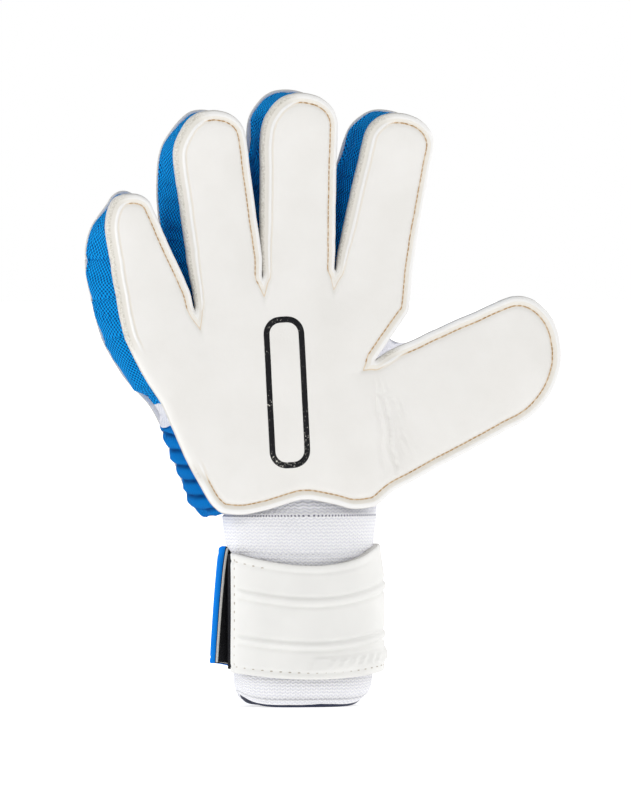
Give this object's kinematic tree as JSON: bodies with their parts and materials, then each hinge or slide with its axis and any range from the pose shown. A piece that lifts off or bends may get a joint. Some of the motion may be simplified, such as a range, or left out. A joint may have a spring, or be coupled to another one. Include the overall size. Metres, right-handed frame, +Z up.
{
  "type": "goalkeeper glove",
  "caption": "Padded right-hand goalkeeper glove with foam palm, mesh-sided fingers, knitted cuff and a wrap-round wrist strap that opens; all digits bend.",
  "frame": {"origin": "on the cuff's bottom rim, in the middle of its palm side", "axes": "+Z up along the hand from the cuff to the fingertips, the palm faces -Y, the thumb points to +X"},
  "size_m": [0.2355, 0.0528, 0.3024],
  "materials": {
    "palm_latex": "matt warm white latex foam with a fine open grain",
    "back_foam": "satin white embossed foam",
    "strap_foam": "satin white embossed foam",
    "blue_mesh": "matt blue knitted mesh",
    "blue_elastic": "matt blue gathered elastic",
    "white_mesh": "matt white knitted mesh",
    "lining": "soft brushed lining",
    "hook_tape": "black hook tape",
    "loop_tape": "black loop tape",
    "blue_cover": "satin blue embossed cover",
    "binding": "navy woven binding tape",
    "thread": "tan sewing thread",
    "print_ink": "worn black print"
  },
  "bodies": {
    "cuff": {"wrist_sleeve": "white_mesh", "cuff_binding": "binding", "strap_base": "loop_tape", "strap_foam": "strap_foam", "loop_patch": "loop_tape"},
    "strap_tab": {"strap_tab_hook": "hook_tape", "strap_tab_cover": "blue_cover"},
    "strap_tip": {"strap_tip_hook": "hook_tape", "strap_tip_cover": "blue_cover"},
    "wrist": {"wrist_band": "white_mesh"},
    "hand": {"palm_foam": "palm_latex", "hand_lining": "lining", "backhand_foam": "back_foam", "side_gusset": "blue_mesh", "stretch_panel": "blue_elastic", "thumb_web": "white_mesh", "knuckle_pad": "back_foam"},
    "little_base": {"little_palm_foam_base": "palm_latex", "little_gusset_base": "blue_mesh", "little_back_foam_base": "back_foam"},
    "little_middle": {"little_palm_foam_middle": "palm_latex", "little_gusset_middle": "blue_mesh", "little_back_foam_middle": "back_foam"},
    "little_tip": {"little_palm_foam_tip": "palm_latex", "little_gusset_tip": "blue_mesh", "little_back_foam_tip": "back_foam"},
    "ring_base": {"ring_palm_foam_base": "palm_latex", "ring_gusset_base": "blue_mesh", "ring_back_foam_base": "back_foam"},
    "ring_middle": {"ring_palm_foam_middle": "palm_latex", "ring_gusset_middle": "blue_mesh", "ring_back_foam_middle": "back_foam"},
    "ring_tip": {"ring_palm_foam_tip": "palm_latex", "ring_gusset_tip": "blue_mesh", "ring_back_foam_tip": "back_foam"},
    "middle_base": {"middle_palm_foam_base": "palm_latex", "middle_gusset_base": "blue_mesh", "middle_back_foam_base": "back_foam"},
    "middle_middle": {"middle_palm_foam_middle": "palm_latex", "middle_gusset_middle": "blue_mesh", "middle_back_foam_middle": "back_foam"},
    "middle_tip": {"middle_palm_foam_tip": "palm_latex", "middle_gusset_tip": "blue_mesh", "middle_back_foam_tip": "back_foam"},
    "index_base": {"index_palm_foam_base": "palm_latex", "index_gusset_base": "blue_mesh", "index_back_foam_base": "back_foam"},
    "index_middle": {"index_palm_foam_middle": "palm_latex", "index_gusset_middle": "blue_mesh", "index_back_foam_middle": "back_foam"},
    "index_tip": {"index_palm_foam_tip": "palm_latex", "index_gusset_tip": "blue_mesh", "index_back_foam_tip": "back_foam"},
    "thumb_base": {"thumb_palm_foam_base": "palm_latex", "thumb_gusset_base": "white_mesh", "thumb_back_foam_base": "back_foam"},
    "thumb_tip": {"thumb_palm_foam_tip": "palm_latex", "thumb_gusset_tip": "blue_mesh", "thumb_back_foam_tip": "back_foam"}
  },
  "joints": [
    {"name": "wrist_lower", "type": "hinge", "parent": "cuff", "child": "wrist", "pos_m": [0, 0.0182, 0.0805], "axis": [1, 0, 0], "range_deg": [-12, 12], "stiffness_Nm_per_rad": 0.3},
    {"name": "wrist_upper", "type": "hinge", "parent": "wrist", "child": "hand", "pos_m": [0, 0.0182, 0.0904], "axis": [1, 0, 0], "range_deg": [-12, 12], "stiffness_Nm_per_rad": 0.3},
    {"name": "little_knuckle", "type": "hinge", "parent": "hand", "child": "little_base", "pos_m": [-0.07877, -0.0018, 0.19562], "axis": [0.9945, 0, 0.1045], "range_deg": [-8, 75], "stiffness_Nm_per_rad": 0.05},
    {"name": "little_middle_joint", "type": "hinge", "parent": "little_base", "child": "little_middle", "pos_m": [-0.08544, -0.00263, 0.21339], "axis": [0.9361, 0, 0.3518], "range_deg": [-5, 85], "stiffness_Nm_per_rad": 0.04},
    {"name": "little_tip_joint", "type": "hinge", "parent": "little_middle", "child": "little_tip", "pos_m": [-0.0914, -0.00426, 0.22923], "axis": [0.9361, 0, 0.3518], "range_deg": [-3, 39], "stiffness_Nm_per_rad": 0.02},
    {"name": "ring_knuckle", "type": "hinge", "parent": "hand", "child": "ring_base", "pos_m": [-0.04455, -0.0018, 0.21554], "axis": [1, 0, 0], "range_deg": [-8, 75], "stiffness_Nm_per_rad": 0.05},
    {"name": "ring_middle_joint", "type": "hinge", "parent": "ring_base", "child": "ring_middle", "pos_m": [-0.04928, -0.00298, 0.2421], "axis": [0.9845, 0, 0.1754], "range_deg": [-5, 85], "stiffness_Nm_per_rad": 0.04},
    {"name": "ring_tip_joint", "type": "hinge", "parent": "ring_middle", "child": "ring_tip", "pos_m": [-0.0533, -0.00518, 0.26464], "axis": [0.9845, 0, 0.1754], "range_deg": [-3, 39], "stiffness_Nm_per_rad": 0.02},
    {"name": "middle_knuckle", "type": "hinge", "parent": "hand", "child": "middle_base", "pos_m": [-0.00771, -0.0018, 0.22199], "axis": [1, 0, 0], "range_deg": [-8, 75], "stiffness_Nm_per_rad": 0.05},
    {"name": "middle_middle_joint", "type": "hinge", "parent": "middle_base", "child": "middle_middle", "pos_m": [-0.00859, -0.00302, 0.24996], "axis": [0.9995, 0, 0.0314], "range_deg": [-5, 85], "stiffness_Nm_per_rad": 0.04},
    {"name": "middle_tip_joint", "type": "hinge", "parent": "middle_middle", "child": "middle_tip", "pos_m": [-0.00934, -0.00532, 0.27383], "axis": [0.9995, 0, 0.0314], "range_deg": [-3, 39], "stiffness_Nm_per_rad": 0.02},
    {"name": "index_knuckle", "type": "hinge", "parent": "hand", "child": "index_base", "pos_m": [0.03064, -0.0018, 0.21823], "axis": [1, 0, 0], "range_deg": [-8, 75], "stiffness_Nm_per_rad": 0.05},
    {"name": "index_middle_joint", "type": "hinge", "parent": "index_base", "child": "index_middle", "pos_m": [0.03542, -0.00293, 0.24376], "axis": [0.9829, 0, -0.184], "range_deg": [-5, 85], "stiffness_Nm_per_rad": 0.04},
    {"name": "index_tip_joint", "type": "hinge", "parent": "index_middle", "child": "index_tip", "pos_m": [0.03963, -0.00514, 0.26626], "axis": [0.9829, 0, -0.184], "range_deg": [-3, 39], "stiffness_Nm_per_rad": 0.02},
    {"name": "thumb_base_joint", "type": "hinge", "parent": "hand", "child": "thumb_base", "pos_m": [0.041, -0.0018, 0.14], "axis": [0, 0, -1], "range_deg": [-5, 45], "stiffness_Nm_per_rad": 0.06},
    {"name": "thumb_tip_joint", "type": "hinge", "parent": "thumb_base", "child": "thumb_tip", "pos_m": [0.08388, -0.0018, 0.16157], "axis": [0.4493, 0, -0.8934], "range_deg": [-5, 50], "stiffness_Nm_per_rad": 0.04},
    {"name": "strap_tab_hinge", "type": "hinge", "parent": "cuff", "child": "strap_tab", "pos_m": [-0.0408, 0.0195, 0.045], "axis": [0, 0, 1], "range_deg": [0, 120], "stiffness_Nm_per_rad": 0.002},
    {"name": "strap_tip_hinge", "type": "hinge", "parent": "strap_tab", "child": "strap_tip", "pos_m": [-0.028, 0.0368, 0.045], "axis": [0, 0, 1], "range_deg": [0, 70], "stiffness_Nm_per_rad": 0.002}
  ],
  "couplings": [
    {"joint": "wrist_upper", "follows": "wrist_lower", "ratio": 1},
    {"joint": "little_tip_joint", "follows": "little_middle_joint", "ratio": 0.45},
    {"joint": "ring_tip_joint", "follows": "ring_middle_joint", "ratio": 0.45},
    {"joint": "middle_tip_joint", "follows": "middle_middle_joint", "ratio": 0.45},
    {"joint": "index_tip_joint", "follows": "index_middle_joint", "ratio": 0.45}
  ]
}
